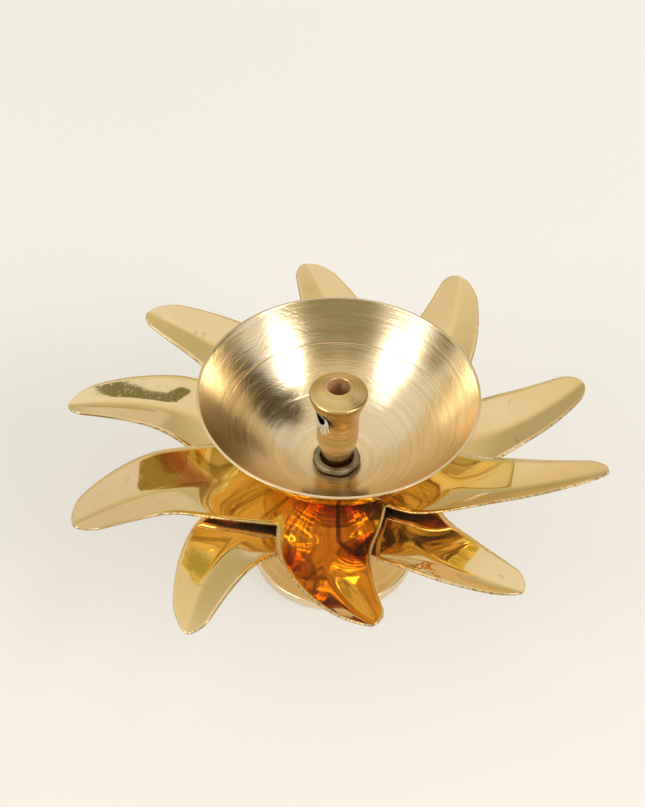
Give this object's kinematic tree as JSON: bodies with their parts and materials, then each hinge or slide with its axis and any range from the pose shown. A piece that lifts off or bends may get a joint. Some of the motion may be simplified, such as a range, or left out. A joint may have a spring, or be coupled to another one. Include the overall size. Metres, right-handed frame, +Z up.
{
  "type": "diya oil lamp",
  "caption": "Brass oil lamp with a turned bowl and wick holder over two stamped plates of swept petals, on a stemmed round foot.",
  "frame": {"origin": "centre of the foot's underside, on the lamp's axis", "axes": "+Z up along the axis; -Y faces the viewer of the picture, +X to its right"},
  "size_m": [0.1199, 0.1198, 0.0538],
  "materials": {
    "polished_brass": "mirror polished sheet with sheared edges",
    "turned_brass": "satin, with fine turning rings",
    "aged_steel": "dull, darkened by oil",
    "rubber": "matt, brown-red (hidden on the real lamp, so its colour is a guess)"
  },
  "bodies": {
    "base": {"foot": "turned_brass", "foot_washer": "aged_steel", "foot_screw": "aged_steel", "stem": "turned_brass", "plate_spacer": "turned_brass", "bowl_gasket": "rubber", "oil_bowl": "turned_brass", "bowl_locknut": "aged_steel"},
    "lower_flower": {"lower_petal_plate": "polished_brass"},
    "upper_flower": {"upper_petal_plate": "polished_brass"},
    "wick_holder": {"wick_holder": "turned_brass"}
  },
  "joints": [
    {"name": "lower_petals_turn", "type": "hinge", "parent": "base", "child": "lower_flower", "pos_m": [0, 0, 0.0264], "axis": [0, 0, 1], "range_deg": [-1, 9]},
    {"name": "upper_petals_turn", "type": "hinge", "parent": "base", "child": "upper_flower", "pos_m": [0, 0, 0.0284], "axis": [0, 0, 1], "range_deg": [-9, 1]},
    {"name": "wick_holder_unscrew", "type": "slide", "parent": "base", "child": "wick_holder", "axis": [0, 0, 1], "range_m": [0, 0.013]}
  ]
}
